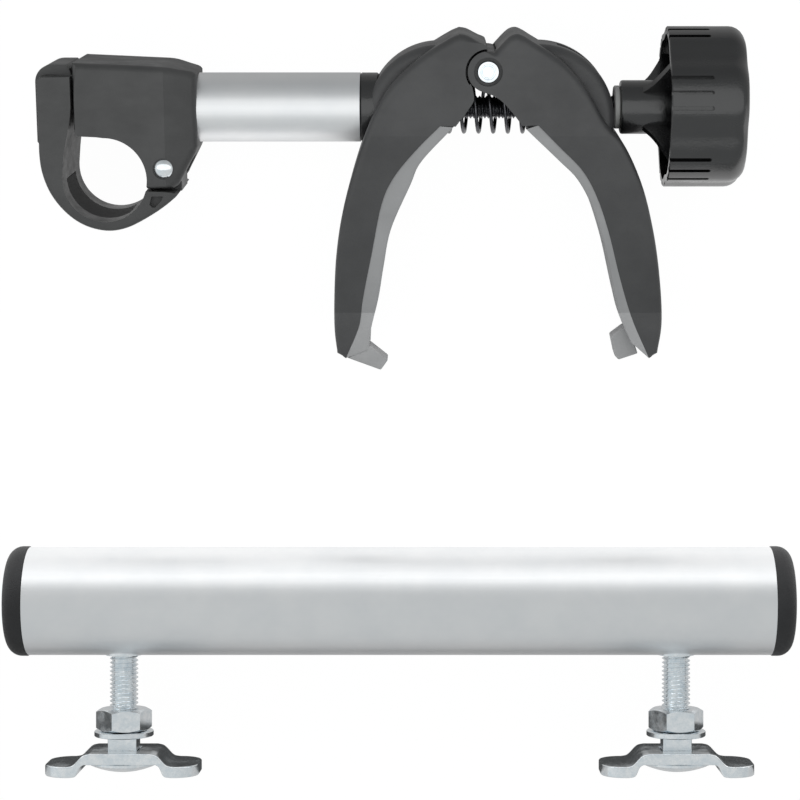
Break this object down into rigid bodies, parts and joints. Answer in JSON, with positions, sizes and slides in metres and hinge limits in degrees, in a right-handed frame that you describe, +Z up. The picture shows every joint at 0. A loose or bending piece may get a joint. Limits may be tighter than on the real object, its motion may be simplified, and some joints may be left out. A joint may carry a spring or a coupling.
{
  "type": "track-mounted bike holder",
  "caption": "Short rack bar on track feet with a loose frame clamp arm: hinged ring clamp, tube, sprung claws closed by a threaded knob, all lying flat.",
  "frame": {"origin": "middle of the box that holds both pieces, on the surface that they lie on", "axes": "+X along the bar and the arm, +Y from the bar towards the arm, +Z up from the surface"},
  "size_m": [0.277, 0.2646, 0.0566],
  "materials": {
    "anodised": "satin anodised",
    "grained_plastic": "fine moulded grain",
    "zinc": "bright zinc plate",
    "housing_plastic": "matt moulded, glass filled",
    "claw_plastic": "matt moulded, glass filled",
    "black_plastic": "satin moulded",
    "liner_rubber": "matt",
    "pad_rubber": "matt, ribbed inside",
    "spring_steel": "oiled wire",
    "washer_nylon": "natural nylon",
    "brass": "turned"
  },
  "bodies": {
    "bar": {"bar_tube": "anodised", "left_end_cap": "grained_plastic", "right_end_cap": "grained_plastic", "left_tube_insert": "zinc", "right_tube_insert": "zinc"},
    "left_foot": {"left_foot_bolt": "zinc", "left_track_plate": "zinc"},
    "right_foot": {"right_foot_bolt": "zinc", "right_track_plate": "zinc"},
    "left_washer": {"left_foot_washer": "zinc"},
    "right_washer": {"right_foot_washer": "zinc"},
    "left_nut": {"left_foot_nut": "zinc"},
    "right_nut": {"right_foot_nut": "zinc"},
    "arm": {"clamp_housing": "housing_plastic", "hook_hinge_rivet": "zinc", "arm_tube": "anodised", "tube_plug": "black_plastic"},
    "hook": {"clamp_hook": "housing_plastic", "hook_liner": "liner_rubber", "latch_pin": "zinc"},
    "latch": {"latch_lever": "housing_plastic"},
    "head": {"tube_collar": "black_plastic", "left_claw": "claw_plastic", "left_claw_pad": "pad_rubber", "claw_hinge_pin": "zinc", "clamp_rod": "spring_steel", "claw_spring": "spring_steel"},
    "closing_claw": {"right_claw": "claw_plastic", "right_claw_pad": "pad_rubber"},
    "thrust": {"thrust_washer": "washer_nylon"},
    "knob": {"knob_body": "black_plastic", "knob_cap": "black_plastic", "knob_insert": "brass"}
  },
  "joints": [
    {"name": "left_foot_turn", "type": "hinge", "parent": "bar", "child": "left_foot", "pos_m": [-0.0975, -0.0717, 0.0193], "axis": [0, 1, 0], "range_deg": [-90, 90]},
    {"name": "left_nut_travel", "type": "slide", "parent": "left_foot", "child": "left_washer", "axis": [0, 1, 0], "range_m": [0, 0.018]},
    {"name": "left_nut_turn", "type": "hinge", "parent": "left_washer", "child": "left_nut", "pos_m": [-0.0975, -0.0717, 0.0193], "axis": [0, 1, 0], "range_deg": [0, 4320.1]},
    {"name": "right_foot_turn", "type": "hinge", "parent": "bar", "child": "right_foot", "pos_m": [0.0975, -0.0717, 0.0193], "axis": [0, 1, 0], "range_deg": [-90, 90]},
    {"name": "right_nut_travel", "type": "slide", "parent": "right_foot", "child": "right_washer", "axis": [0, 1, 0], "range_m": [0, 0.018]},
    {"name": "right_nut_turn", "type": "hinge", "parent": "right_washer", "child": "right_nut", "pos_m": [0.0975, -0.0717, 0.0193], "axis": [0, 1, 0], "range_deg": [0, 4320.1]},
    {"name": "arm_lift", "type": "slide", "parent": "bar", "child": "arm", "axis": [0, 0, 1], "range_m": [0, 0.12]},
    {"name": "hook_swing", "type": "hinge", "parent": "arm", "child": "hook", "pos_m": [-0.0808, 0.0831, 0.02395], "axis": [0, -0.2275, 0.9738], "range_deg": [0, 58]},
    {"name": "latch_release", "type": "hinge", "parent": "hook", "child": "latch", "pos_m": [-0.1189, 0.1093, 0.03008], "axis": [0, 0.2275, -0.9738], "range_deg": [0, 10]},
    {"name": "head_swivel", "type": "hinge", "parent": "arm", "child": "head", "pos_m": [-0.0111, 0.1017, 0.0283], "axis": [1, 0, 0], "range_deg": [-180, 180]},
    {"name": "claw_close", "type": "hinge", "parent": "head", "child": "closing_claw", "pos_m": [0.0306, 0.11524, 0.03146], "axis": [0, 0.2275, -0.9738], "range_deg": [0, 40.01], "deforming": ["claw_spring"]},
    {"name": "knob_travel", "type": "slide", "parent": "head", "child": "thrust", "axis": [-1, 0, 0], "range_m": [0, 0.01411], "deforming": ["claw_spring"]},
    {"name": "knob_turn", "type": "hinge", "parent": "thrust", "child": "knob", "pos_m": [0.0989, 0.1017, 0.0283], "axis": [-1, 0, 0], "range_deg": [0, 4062.5], "deforming": ["claw_spring"]}
  ],
  "couplings": [
    {"joint": "left_nut_turn", "follows": "left_nut_travel", "rad_per_m": 4188.8},
    {"joint": "right_nut_turn", "follows": "right_nut_travel", "rad_per_m": 4188.8},
    {"joint": "knob_turn", "follows": "knob_travel", "rad_per_m": 5026.5},
    {"joint": "claw_close", "follows": "knob_travel", "rad_per_m": 49.505}
  ]
}
